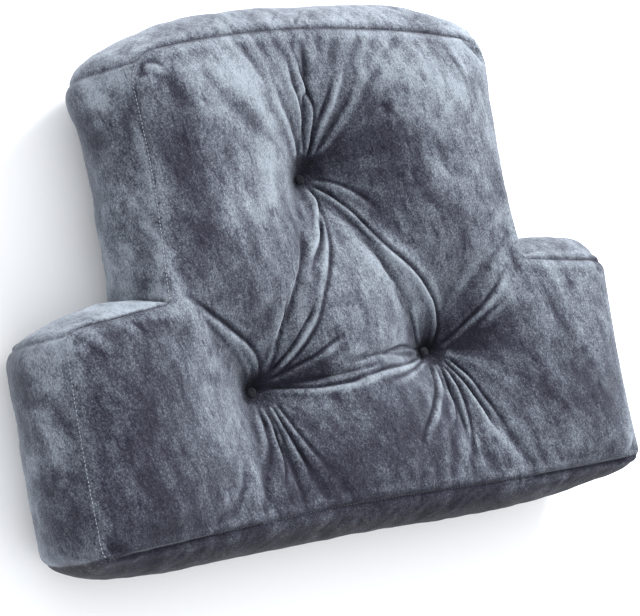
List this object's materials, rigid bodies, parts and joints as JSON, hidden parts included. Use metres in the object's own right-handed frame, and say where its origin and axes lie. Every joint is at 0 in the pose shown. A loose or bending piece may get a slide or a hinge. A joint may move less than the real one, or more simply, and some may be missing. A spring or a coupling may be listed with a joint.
{
  "type": "lumbar support pillow",
  "caption": "Boxed velvet back cushion shaped like an upside-down T, with low arms, a taller middle block and buttons pulled deep into its front.",
  "frame": {"origin": "centre of the footprint on the surface the cushion lies on, under its back panel", "axes": "+X across the arms (the right side seen from the front), +Y towards the top of the middle block, +Z out of the front panel; the cushion lies on its back"},
  "size_m": [0.604, 0.468, 0.1292],
  "materials": {
    "velvet_cover": "crushed blue-grey velvet with a silvery pile, sewn at the edges with no piping",
    "covered_button": "the same velvet stretched over a small domed button"
  },
  "bodies": {
    "root": {"cushion_body": "velvet_cover", "tuft_button_top": "covered_button", "tuft_button_left": "covered_button", "tuft_button_right": "covered_button"}
  },
  "joints": []
}
